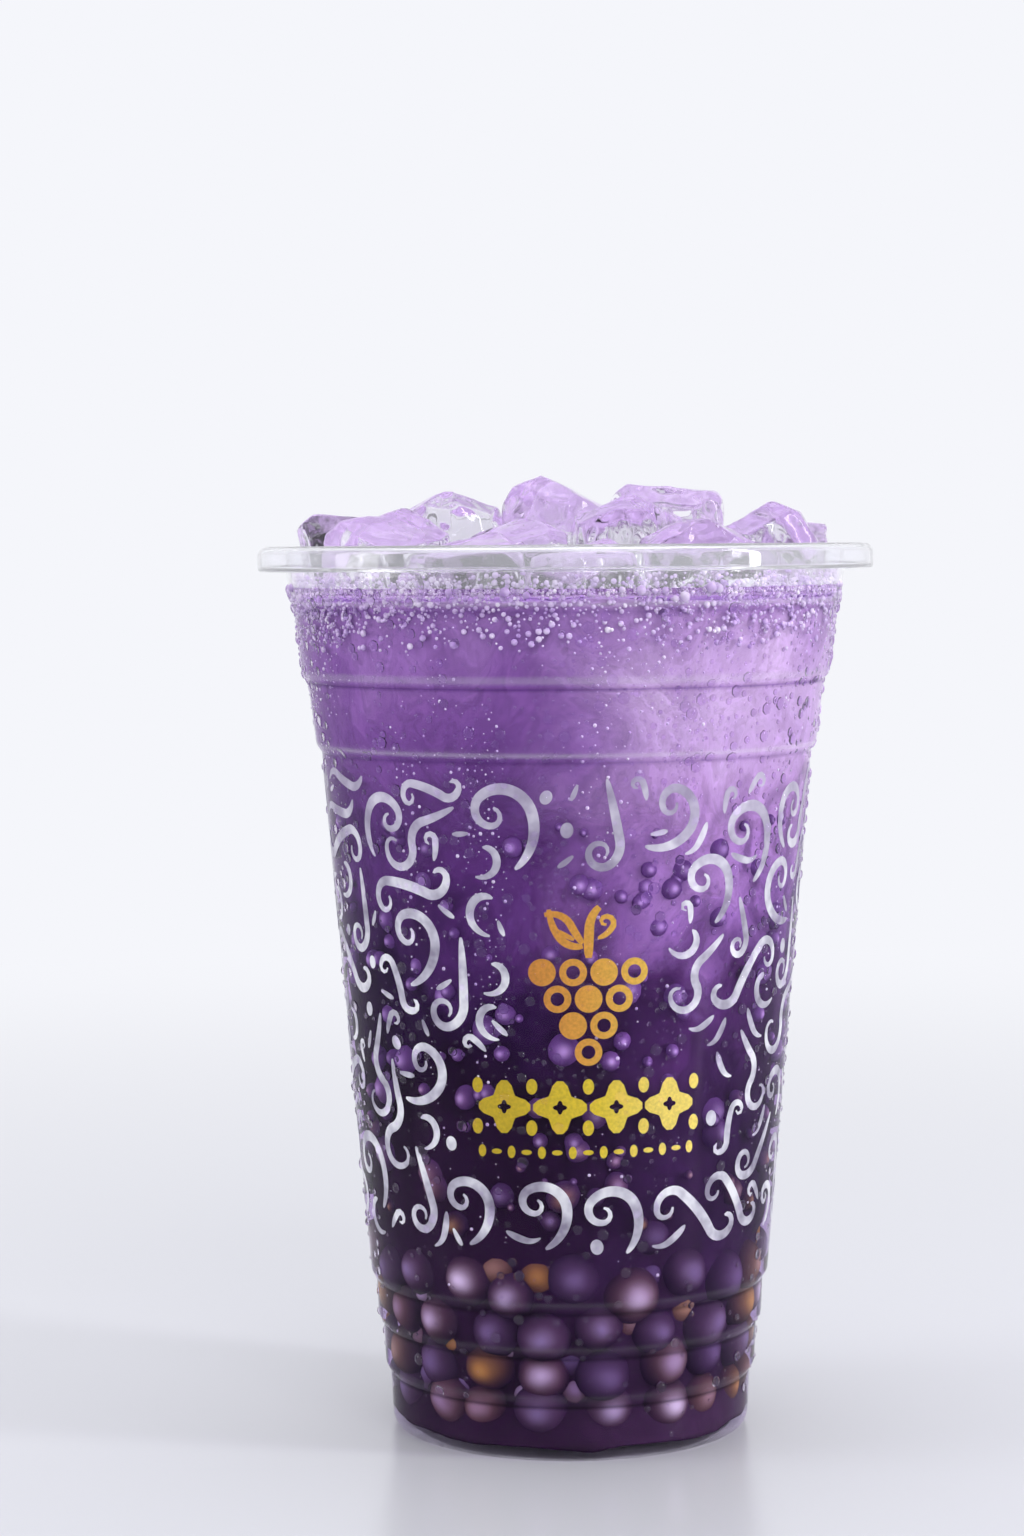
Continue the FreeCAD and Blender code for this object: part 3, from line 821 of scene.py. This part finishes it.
def beads(name, finish):
    """A tree that scatters round beads, small ones by far the most, over the outside of a wall."""
    kinds = dict.fromkeys((*BEAD_SIZES, *BEAD_SHARES), "Float")
    tree, given = geometry_tree(name, **kinds | {"Facets": "Int", "Seed": "Int"})
    place = add(tree, "GeometryNodeInputPosition")
    height = add(tree, "ShaderNodeSeparateXYZ", {0: place})
    facing = add(tree, "GeometryNodeInputNormal")
    level = add(tree, "ShaderNodeVectorMath", {0: place, 1: (1, 1, 0)}, operation="MULTIPLY")
    reach = add(tree, "ShaderNodeVectorMath", {0: level}, operation="LENGTH")
    outward = add(
        tree, "ShaderNodeVectorMath", {0: level, 1: facing.outputs["Normal"]}, operation="DOT_PRODUCT"
    )
    wanted = None
    for value, limit, operation in (
        (height.outputs["Z"], given["Lowest"], "GREATER_THAN"),
        (height.outputs["Z"], given["Highest"], "LESS_THAN"),
        (reach.outputs["Value"], given["Innermost"], "GREATER_THAN"),
        (outward.outputs["Value"], -1e-4, "GREATER_THAN"),
    ):
        test = add(
            tree, "FunctionNodeCompare", {0: value, 1: limit}, data_type="FLOAT", operation=operation
        )
        if wanted:
            test = add(tree, "FunctionNodeBooleanMath", {0: wanted, 1: test}, operation="AND")
        wanted = test

    finer = add(tree, "ShaderNodeMath", {0: 1.0, 1: given["PatchSize"]}, operation="DIVIDE")
    patches = add(tree, "ShaderNodeTexNoise", {"Vector": place, "Scale": finer, "Detail": 2.0})
    edge = add(tree, "ShaderNodeMath", {0: given["Patchiness"], 1: 0.12}, operation="ADD")
    patches = add(tree, "ShaderNodeMapRange", {0: patches, 1: given["Patchiness"], 2: edge})
    rise = add(
        tree,
        "ShaderNodeMapRange",
        {0: height.outputs["Z"], 1: given["Lowest"], 2: given["FullFrom"], 3: 0.2, 4: 1.0},
    )
    factor = add(tree, "ShaderNodeMath", {0: patches, 1: rise}, operation="MULTIPLY")
    most = add(tree, "ShaderNodeMath", {0: given["Apart"], 1: -2.0}, operation="POWER")
    points = add(
        tree,
        "GeometryNodeDistributePointsOnFaces",
        {
            "Mesh": given["Geometry"], "Selection": wanted, "Distance Min": given["Apart"],
            "Density Max": most, "Density Factor": factor, "Seed": given["Seed"],
        },
        distribute_method="POISSON",
    )

    luck = add(
        tree, "FunctionNodeRandomValue", {2: 0.0, 3: 1.0, "Seed": given["Seed"]}, data_type="FLOAT"
    )
    luck = add(tree, "ShaderNodeMath", {0: luck.outputs[1], 1: given["Rarity"]}, operation="POWER")
    size = add(tree, "ShaderNodeMapRange", {0: luck, 3: given["Smallest"], 4: given["Largest"]})
    flat = add(tree, "ShaderNodeMath", {0: size, 1: given["Flatness"]}, operation="MULTIPLY")
    scale = add(tree, "ShaderNodeCombineXYZ", {0: size, 1: size, 2: flat})
    sunk = add(tree, "ShaderNodeMath", {0: flat, 1: given["Sink"]}, operation="MULTIPLY")
    sunk = add(
        tree, "ShaderNodeVectorMath", {0: points.outputs["Normal"], "Scale": sunk}, operation="SCALE"
    )

    rings = add(tree, "ShaderNodeMath", {0: given["Facets"], 1: 2.0}, operation="SUBTRACT")
    ball = add(
        tree, "GeometryNodeMeshUVSphere", {"Segments": given["Facets"], "Rings": rings, "Radius": 1.0}
    )
    shape = add(tree, "ShaderNodeSeparateXYZ", {0: place})
    cut = add(tree, "ShaderNodeMath", {0: shape.outputs["Z"], 1: given["Base"]}, operation="MAXIMUM")
    dome = add(tree, "ShaderNodeCombineXYZ", {0: shape.outputs["X"], 1: shape.outputs["Y"], 2: cut})
    ball = add(tree, "GeometryNodeSetPosition", {"Geometry": ball, "Position": dome})
    moved = add(tree, "GeometryNodeSetPosition", {"Geometry": points.outputs["Points"], "Offset": sunk})
    scattered = add(
        tree,
        "GeometryNodeInstanceOnPoints",
        {"Points": moved, "Instance": ball, "Rotation": points.outputs["Rotation"], "Scale": scale},
    )
    finished(tree, scattered, (finish, True))
    return tree


for column, (name, (carrier, climb, finish, slot)) in enumerate(BEADS.items()):
    mesh = carrier.data.copy()
    mesh.transform(Matrix.Translation((0, 0, climb * MM)))
    values = {size: row[column] * MM for size, row in BEAD_SIZES.items()}
    values |= {share: row[column] for share, row in BEAD_SHARES.items()}
    scattered = grown(name, mesh, beads(name, finish), values)
    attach(scattered, "root")

# ---------------------------------------------------------------------------------------------
# Print: ornament in silver ink all round the straight wall, and an emblem of grapes in gold ink on
# its front. It is screen-printed on the flat, here as flat art, and then wrapped on the taper.
# ---------------------------------------------------------------------------------------------

INK_THICK = 0.04
INK_LIFT = 0.03
INK_LAYERS = 5
INK_LAYER_GAP = 0.002
STROKE_STEP = 0.6
BAND_LOW = 33.0
BAND_HIGH = 107.0
BRUSH = 0.63
EMBLEM_TURN = math.radians(5.0)
ART_RADIUS = 36.0

# Silver ink: satin, a little mottled, greyer where frost and foam lie behind its upper rows.
silver_ink, tree = material("screen_printed_silver_ink")
place = add(tree, "ShaderNodeTexCoord")
spot = add(tree, "ShaderNodeSeparateXYZ", {0: place.outputs["Object"]})
mottle = add(
    tree,
    "ShaderNodeTexNoise",
    {"Vector": place.outputs["Object"], "Scale": 1 / (6.0 * MM), "Detail": 3.0, "Roughness": 0.6},
)
ink = add(tree, "ShaderNodeValToRGB", {0: mottle})
colour_stops(ink.color_ramp, ((0.34, "#8F889E"), (0.5, "#C6C3D2"), (0.66, "#F6F6FC")))
high_up = add(
    tree, "ShaderNodeMapRange", {0: spot.outputs["Z"], 1: 84.0 * MM, 2: 108.0 * MM, 3: 0.0, 4: 0.6}
)
ink = add(tree, "ShaderNodeMix", {0: high_up, 6: ink, 7: linear("#A99ABC")}, data_type="RGBA")
surface = add(
    tree, "ShaderNodeBsdfPrincipled",
    {"Base Color": ink.outputs[2], "Metallic": 0.25, "Roughness": 0.38},
)
add(tree, "ShaderNodeOutputMaterial", {"Surface": surface})

# Gold ink: flakes in a yellow varnish, deeper orange to one side and at the top of the emblem.
gold_ink, tree = material("screen_printed_gold_ink")
place = add(tree, "ShaderNodeTexCoord")
spot = add(tree, "ShaderNodeSeparateXYZ", {0: place.outputs["Object"]})
flakes = add(
    tree, "ShaderNodeTexNoise",
    {"Vector": place.outputs["Object"], "Scale": 1 / (0.5 * MM), "Detail": 2.0},
)
across = add(tree, "ShaderNodeMapRange", {0: spot.outputs["X"], 1: -10.0 * MM, 2: 14.0 * MM})
deep = add(tree, "ShaderNodeValToRGB", {0: across})
colour_stops(deep.color_ramp, ((0.0, "#C67A30"), (0.5, "#D99A3A"), (1.0, "#E8BD4E")))
bright = add(tree, "ShaderNodeValToRGB", {0: across})
colour_stops(bright.color_ramp, ((0.0, "#C9AC1C"), (0.6, "#E0C52C"), (1.0, "#F2D868")))
low_down = add(tree, "ShaderNodeMapRange", {0: spot.outputs["Z"], 1: 62.0 * MM, 2: 61.0 * MM})
ink = add(tree, "ShaderNodeMix", {0: low_down, 6: deep, 7: bright}, data_type="RGBA")
glitter = add(tree, "ShaderNodeMapRange", {0: flakes, 1: 0.3, 2: 0.7, 3: 0.86, 4: 1.12})
ink = add(tree, "ShaderNodeVectorMath", {0: ink.outputs[2], "Scale": glitter}, operation="SCALE")
surface = add(tree, "ShaderNodeBsdfPrincipled", {"Base Color": ink, "Metallic": 0.2, "Roughness": 0.35})
add(tree, "ShaderNodeOutputMaterial", {"Surface": surface})


def wrapping(name, ink):
    """A tree that wraps flat art on the taper: across is round the wall, and up is up."""
    tree, given = geometry_tree(
        name, Finer="Int", ArtRadius="Float", LowRadius="Float", HighRadius="Float", Low="Float",
        High="Float",
    )
    art = add(tree, "GeometryNodeSubdivideMesh", {"Mesh": given["Geometry"], "Level": given["Finer"]})
    place = add(tree, "GeometryNodeInputPosition")
    flat = add(tree, "ShaderNodeSeparateXYZ", {0: place})
    radius = add(tree, "ShaderNodeMapRange", {
        0: flat.outputs["Y"], 1: given["Low"], 2: given["High"], 3: given["LowRadius"],
        4: given["HighRadius"],
    })
    radius = add(tree, "ShaderNodeMath", {0: radius, 1: flat.outputs["Z"]}, operation="ADD")
    turn = add(
        tree, "ShaderNodeMath", {0: flat.outputs["X"], 1: given["ArtRadius"]}, operation="DIVIDE"
    )
    sine = add(tree, "ShaderNodeMath", {0: turn}, operation="SINE")
    cosine = add(tree, "ShaderNodeMath", {0: turn}, operation="COSINE")
    x = add(tree, "ShaderNodeMath", {0: sine, 1: radius}, operation="MULTIPLY")
    y = add(tree, "ShaderNodeMath", {0: cosine, 1: radius}, operation="MULTIPLY")
    y = add(tree, "ShaderNodeMath", {0: y, 1: -1.0}, operation="MULTIPLY")
    round_wall = add(tree, "ShaderNodeCombineXYZ", {0: x, 1: y, 2: flat.outputs["Y"]})
    art = add(tree, "GeometryNodeSetPosition", {"Geometry": art, "Position": round_wall})
    finished(tree, art, (ink, True), smooth=False)
    return tree


class Art:
    """Flat printing art in millimetres: strokes and spots round a middle, turned and scaled."""

    def __init__(self):
        self.points = []
        self.faces = []
        self.shapes = 0
        self.set_down(Vector((0, 0)), 0, 1, 1)

    def set_down(self, middle, turn, scale, flip):
        """Where the next shapes go: their middle, turn and scale, and -1 to mirror them."""
        self.middle = middle
        self.turn = Matrix.Rotation(turn, 2) @ Matrix.Diagonal((flip, 1))
        self.scale = scale

    def point(self, spot):
        """Adds a point. Shapes that follow one another lie at their own heights, so none fight."""
        spot = self.turn @ Vector(spot) * self.scale
        widened = ART_RADIUS / wall_radius(self.middle.y + spot.y)
        lift = INK_LIFT + INK_LAYER_GAP * (self.shapes % INK_LAYERS)
        x = self.middle.x + spot.x * widened
        self.points.append((x * MM, (self.middle.y + spot.y) * MM, lift * MM))
        return len(self.points) - 1

    def stroke(self, start, heading, bends, thick, fine=0.22):
        """A brush stroke: bends are (length, degrees) stretches, and it starts and ends fine.
        Small strokes are nearly as thick as large ones."""
        self.shapes += 1
        total = sum(length for length, _ in bends)
        brush = BRUSH / self.scale**0.6
        here, angle, gone = Vector(start), math.radians(heading), 0.0
        line = [(here.copy(), angle, 0.0)]
        for length, turn in bends:
            count = max(2, round(length * self.scale / STROKE_STEP))
            for _ in range(count):
                angle += math.radians(turn) / count
                here = here + Vector((math.cos(angle), math.sin(angle))) * length / count
                gone += length / count
                line.append((here.copy(), angle, gone / total))
        sides = []
        for here, angle, share in line:
            belly = math.sin(math.pi * share**0.75) ** 0.7 if share < 1 else 0
            swell = fine + (1 - fine) * belly
            across = Vector((-math.sin(angle), math.cos(angle))) * thick * brush * swell / 2
            sides.append((self.point(here - across), self.point(here + across)))
        for (a, b), (c, d) in zip(sides, sides[1:]):
            self.faces.append((a, c, d, b))

    def spot(self, centre, across, up, lean=0, petals=0, dip=0.0, inner=0.0):
        """A round spot, a rosette with dips between its petals, or a ring with a hole."""
        self.shapes += 1
        steps = 28
        loops = []
        for share in (inner, (1 + inner) / 2, 1.0):
            if share == 0:
                loops.append([self.point(centre)] * steps)
                continue
            loop = []
            for step in range(steps):
                angle = math.tau * step / steps
                out = share * (1 - dip * (0.5 + 0.5 * math.cos(petals * angle)))
                edge = Vector((out * across / 2 * math.cos(angle), out * up / 2 * math.sin(angle)))
                loop.append(self.point(Vector(centre) + Matrix.Rotation(math.radians(lean), 2) @ edge))
            loops.append(loop)
        for low, high in zip(loops, loops[1:]):
            for step in range(steps):
                after = (step + 1) % steps
                corners = (low[step], high[step], high[after], low[after])
                self.faces.append(tuple(dict.fromkeys(corners)))

    def take_in(self, other):
        """Adds another piece of art to this one."""
        start = len(self.points)
        self.points += other.points
        self.faces += [tuple(corner + start for corner in face) for face in other.faces]

    def printed(self, name, ink, finer):
        """The art as an ink film on the wall."""
        mesh = bpy.data.meshes.new(name + "_art")
        mesh.from_pydata(self.points, [], self.faces)
        low, high = BAND_LOW - 5, BAND_HIGH
        values = {
            "ArtRadius": ART_RADIUS * MM, "LowRadius": wall_radius(low) * MM,
            "HighRadius": wall_radius(high) * MM, "Low": low * MM, "High": high * MM, "Finer": finer,
        }
        return grown(name, mesh, wrapping(name, ink), values, ink=INK_THICK * MM)


# Brush strokes: start, heading in degrees, stretches as (length, degrees), and thickness. The
# tick also says how blunt its ends are.
MOTIFS = {
    "ess": ((-1.0, 3.6), 150, ((3.0, 160), (4.6, 110), (7.5, -20), (5.2, -140), (3.2, -160)), 2.5),
    "scroll": ((4.6, -6.2), 165, ((8.0, -70), (8.0, -115), (5.0, -140), (3.0, -150)), 2.6),
    "reed": ((-2.6, 8.0), -86, ((9.5, 4), (4.0, 65), (4.2, 120), (3.2, 120), (1.8, 90)), 2.3),
    "wave": ((-7.6, 1.6), -64, ((5.5, 82), (7.0, 10), (5.5, -70)), 2.6),
    "ribbon": ((4.4, 8.0), -118, ((6.0, -12), (4.5, 85), (5.0, -110), (4.0, -90), (2.4, -110)), 2.3),
    "moon": ((2.2, 4.8), 165, ((4.6, 85), (5.4, 80), (3.4, 40)), 2.4),
    "tail": ((-1.6, 3.6), -70, ((5.2, 20), (3.2, 45)), 2.0),
    "hook": ((-1.6, -3.2), 82, ((4.4, -20), (2.4, -110), (2.2, -130)), 1.9),
    "tick": ((-1.4, -0.8), 24, ((3.0, 10),), 1.4, 0.4),
}

# The layout keeps art apart on a grid of fine squares: their size, and how many stay clear.
CLEAR = 0.5
CLEAR_SQUARES = 1


def squares(points, reach=0):
    """The squares of the layout's fine grid that points lie in, and those within reach of them."""
    around = round(math.tau * ART_RADIUS / CLEAR)
    found = set()
    for x, y, _ in points:
        column, row = round(x / MM / CLEAR), round(y / MM / CLEAR)
        for across in range(-reach, reach + 1):
            for up in range(-reach, reach + 1):
                found.add(((column + across) % around, row + up))
    return found


# Large scrolls are laid out first, then smaller ones in the gaps, then round seeds and ticks:
# the motifs, how many tries they get, and their least and greatest scale.
LAYOUT = (
    (("ess", "scroll", "reed", "ribbon"), 3600, 0.95, 1.25),
    (("ess", "scroll", "reed", "moon", "ribbon", "wave"), 5200, 0.62, 0.88),
    (("moon", "tail", "hook"), 3000, 0.6, 0.9),
    (("seed", "tick"), 1200, 0.8, 1.1),
)

# Spaces left free for the emblem: lowest, highest, and half the width.
EMBLEM_SPACES = ((47.0, 61.5, 18.8), (61.5, 90.0, 10.8))

chance = random.Random(7)
silver = Art()
taken = set()
for low, high, half in EMBLEM_SPACES:
    width = 2 * half * ART_RADIUS / wall_radius(low)
    for column in range(int(width / CLEAR) + 1):
        for row in range(int((high - low) / CLEAR) + 1):
            x = EMBLEM_TURN * ART_RADIUS - width / 2 + column * CLEAR
            taken |= squares([(x * MM, (low + row * CLEAR) * MM, 0)])
for motifs, tries, smallest, largest in LAYOUT:
    for _ in range(tries):
        motif = chance.choice(motifs)
        trial = Art()
        turn = chance.uniform(-math.pi, math.pi)
        height = chance.uniform(BAND_LOW, BAND_HIGH)
        lean = math.radians(chance.uniform(-40, 40))
        scale = chance.uniform(smallest, largest)
        trial.set_down(Vector((turn * ART_RADIUS, height)), lean, scale, chance.choice((-1, 1)))
        if motif == "seed":
            trial.spot((0, 0), 1.9, 2.3)
        else:
            trial.stroke(*MOTIFS[motif])
        heights = [y / MM for _, y, _ in trial.points]
        if min(heights) < BAND_LOW or max(heights) > BAND_HIGH:
            continue
        if squares(trial.points, CLEAR_SQUARES) & taken:
            continue
        taken |= squares(trial.points)
        silver.take_in(trial)
ornament = silver.printed("silver_ornament", silver_ink, 0)
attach(ornament, "root")

GRAPE = 4.7
GRAPES_APART = 0.5
GRAPE_ROWS = (4, 3, 2, 1)
GRAPE_ROW_GAP = 0.87 * GRAPE
GRAPE_TOP = 77.2
GRAPE_HOLE = 0.5

gold = Art()
gold.set_down(Vector((EMBLEM_TURN * ART_RADIUS, 0)), 0, 1, 1)
for row, count in enumerate(GRAPE_ROWS):
    height = GRAPE_TOP - row * GRAPE_ROW_GAP
    for step in range(count):
        across = (step - (count - 1) / 2) * GRAPE
        hole = GRAPE_HOLE if (step + row) % 2 else 0.0
        gold.spot((across, height), GRAPE - GRAPES_APART, GRAPE - GRAPES_APART, inner=hole)
# the stalk, a tendril, and a leaf drawn in outline with one vein
gold.stroke((0.0, 79.4), 92, ((5.0, -6), (3.2, -40)), 2.4, fine=0.6)
gold.stroke((1.4, 82.4), 10, ((3.2, 50), (2.6, 140), (1.6, 150)), 1.5, fine=0.45)
gold.stroke((-0.9, 81.2), 196, ((4.4, -70), (4.2, -30)), 1.9, fine=0.55)
gold.stroke((-0.9, 81.6), 128, ((3.6, -10), (4.4, 75)), 1.9, fine=0.55)
gold.stroke((-2.2, 82.2), 155, ((3.0, -8),), 1.2, fine=0.5)

ROSETTES = 4
ROSETTE_GAP = 8.6
for step in range(ROSETTES):
    across = (step - (ROSETTES - 1) / 2) * ROSETTE_GAP
    gold.spot((across, 56.4), 8.4, 8.4, lean=45, petals=4, dip=0.42, inner=0.26)
for step in range(ROSETTES + 1):
    across = (step - ROSETTES / 2) * ROSETTE_GAP
    gold.spot((across, 59.6), 1.7, 2.4)
    gold.spot((across, 53.2), 1.7, 2.4)

FINE_MARKS = 15
FINE_MARK_GAP = 2.35
for step in range(FINE_MARKS):
    across = (step - (FINE_MARKS - 1) / 2) * FINE_MARK_GAP
    gold.spot((across, 49.4), 1.6 if step % 2 else 1.2, 0.8 if step % 2 else 1.9)
emblem = gold.printed("gold_emblem", gold_ink, 1)
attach(emblem, "root")

# ---------------------------------------------------------------------------------------------
# Ice: clear pieces of cube ice, melted round, that float in the tea and heap over the lip. Each
# is a copy of its own plain solid, melted smooth.
# ---------------------------------------------------------------------------------------------

ICE_GRAIN = 0.55
ICE_MELTED = 5
ICE_WAVE_SIZE = 7.5
ICE_WAVE_HEIGHT = 2.0
ICE_WAVE_SHIFT = 1.7

# Clear ice: bright, sharp glints, and deep folds of light where one face shows through another.
clear_ice, tree = material("clear_ice")
place = add(tree, "ShaderNodeTexCoord")
ripples = add(
    tree, "ShaderNodeTexNoise",
    {"Vector": place.outputs["Object"], "Scale": 1 / (4.5 * MM), "Detail": 1.0},
)
bump = add(tree, "ShaderNodeBump", {"Height": ripples, "Distance": 0.5 * MM, "Strength": 1.0})
surface = add(tree, "ShaderNodeBsdfPrincipled", {
    "Base Color": linear("#FFFFFF"), "Roughness": 0.0, "IOR": 1.31, "Transmission Weight": 1.0,
    "Normal": bump,
})
absorb = add(tree, "ShaderNodeVolumeAbsorption", {"Color": linear("#E6DAF4"), "Density": 6.0})
lets_lamps_through(tree, surface, Volume=absorb)

tree, given = geometry_tree("melted_ice", WaveSize="Float", WaveHeight="Float", Seed="Float")
place = add(tree, "GeometryNodeInputPosition")
finer = add(tree, "ShaderNodeMath", {0: 1.0, 1: given["WaveSize"]}, operation="DIVIDE")
waves = add(
    tree, "ShaderNodeTexNoise", {"Vector": place, "W": given["Seed"], "Scale": finer, "Detail": 1.5},
    noise_dimensions="4D",
)
body = rolling(tree, given["Geometry"], waves, BILLOW_MIDDLE, given["WaveHeight"])
finished(tree, body, (clear_ice, True))

for number, name in enumerate(sorted(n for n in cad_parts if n.startswith("ice_"))):
    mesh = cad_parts[name].data.copy()
    mesh.name = name + "_block"
    mesh.materials.clear()
    shape = bmesh.new()
    shape.from_mesh(mesh)
    bmesh.ops.remove_doubles(shape, verts=shape.verts, dist=1e-6)
    shape.to_mesh(mesh)
    shape.free()
    block = new_object(name + "_block", mesh)
    grain = block.modifiers.new("grain", "REMESH")
    grain.mode = "VOXEL"
    grain.voxel_size = ICE_GRAIN * MM
    melt = block.modifiers.new("melt", "SMOOTH")
    melt.iterations = ICE_MELTED
    melt.factor = 0.5
    whole = block.evaluated_get(bpy.context.evaluated_depsgraph_get())
    fine = bpy.data.meshes.new_from_object(whole)
    bpy.data.objects.remove(block)
    waves = {
        "WaveSize": ICE_WAVE_SIZE * MM, "WaveHeight": ICE_WAVE_HEIGHT * MM,
        "Seed": ICE_WAVE_SHIFT * number,
    }
    piece = grown(name + "_melted", fine, tree, waves)
    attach(piece, "root")
    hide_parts(name)
